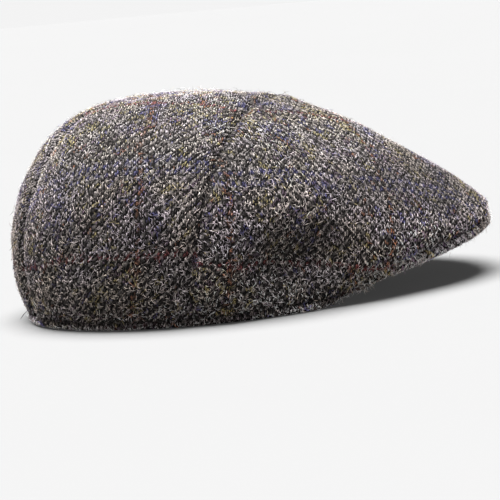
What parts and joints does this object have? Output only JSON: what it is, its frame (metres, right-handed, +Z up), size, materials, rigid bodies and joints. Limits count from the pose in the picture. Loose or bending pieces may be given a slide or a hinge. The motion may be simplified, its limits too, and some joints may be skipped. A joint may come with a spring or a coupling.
{
  "type": "flat cap",
  "caption": "Panelled tweed flat cap whose crown slopes down into a short covered peak, open underneath for the head.",
  "frame": {"origin": "on the floor under the middle of the cap's overall length and width", "axes": "-Y to the front of the peak, -X to the wearer's right, +Z up out of the crown"},
  "size_m": [0.1822, 0.2678, 0.1143],
  "materials": {
    "tweed": "hairy wool twill in grey and brown with fine coloured check lines",
    "tweed_edge": "the same wool cloth turned over an edge"
  },
  "bodies": {
    "root": {"front_panel": "tweed", "back_panel_right": "tweed", "back_panel_left": "tweed", "peak": "tweed_edge", "hem": "tweed_edge"}
  },
  "joints": []
}
